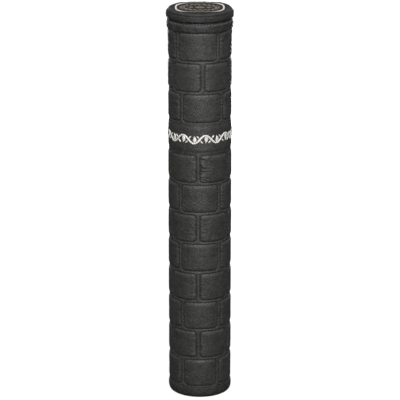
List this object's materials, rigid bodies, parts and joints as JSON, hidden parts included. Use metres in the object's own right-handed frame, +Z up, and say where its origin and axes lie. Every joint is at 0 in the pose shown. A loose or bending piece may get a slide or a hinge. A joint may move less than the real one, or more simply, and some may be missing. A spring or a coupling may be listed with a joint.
{
  "type": "scroll case",
  "caption": "Tall round scroll case: a stiff lined tube in quilted black leather, with a padded lid that zips shut and folds back on a leather patch.",
  "frame": {"origin": "centre of the underside, on the surface that the case stands on", "axes": "+Z up along the tube, towards the lid; the front with the ornament faces -Y, and the lid's hinge patch is at +Y"},
  "size_m": [0.0794, 0.0809, 0.4787],
  "materials": {
    "leather": "pebbled, semi-matt",
    "board": "matt",
    "padding": "felted wadding",
    "lining": "matt woven",
    "silver_thread": "satin stitch",
    "zip_tape": "twill tape",
    "zip_coil": "satin",
    "zip_metal": "gunmetal",
    "plaque_dark": "darkened relief",
    "plaque_bright": "polished"
  },
  "bodies": {
    "case": {"core_tube": "board", "base_board": "board", "tube_lining": "lining", "base_lining": "lining", "core_padding": "padding", "base_leather": "leather", "foot_band": "leather", "lower_quilted_panel": "leather", "ornament_panel": "leather", "upper_quilted_panel": "leather", "ornament_embroidery": "silver_thread", "collar_band": "leather", "zip_tape_case": "zip_tape", "zip_coil_case": "zip_coil", "zip_stop_right": "zip_metal", "zip_stop_left": "zip_metal", "hinge_patch": "leather"},
    "lid": {"lid_lining": "lining", "lid_board": "board", "lid_padding": "padding", "lid_side_band": "leather", "lid_top_leather": "leather", "zip_tape_lid": "zip_tape", "zip_coil_lid": "zip_coil", "plaque_rim": "plaque_bright", "plaque_plate": "plaque_dark"},
    "slider": {"zip_slider": "zip_metal"},
    "pull": {"zip_pull": "zip_metal"}
  },
  "joints": [
    {"name": "lid_hinge", "type": "hinge", "parent": "case", "child": "lid", "pos_m": [0, 0.0407, 0.46769], "axis": [-1, 0, 0], "range_deg": [0, 175], "deforming": ["hinge_patch"]},
    {"name": "slider_travel", "type": "hinge", "parent": "case", "child": "slider", "pos_m": [0, 0, 0.46769], "axis": [0, 0, 1], "range_deg": [-260, 0]},
    {"name": "pull_swing", "type": "hinge", "parent": "slider", "child": "pull", "pos_m": [0.03271, 0.02745, 0.46769], "axis": [0.6428, -0.766, 0], "range_deg": [-5, 172]}
  ]
}
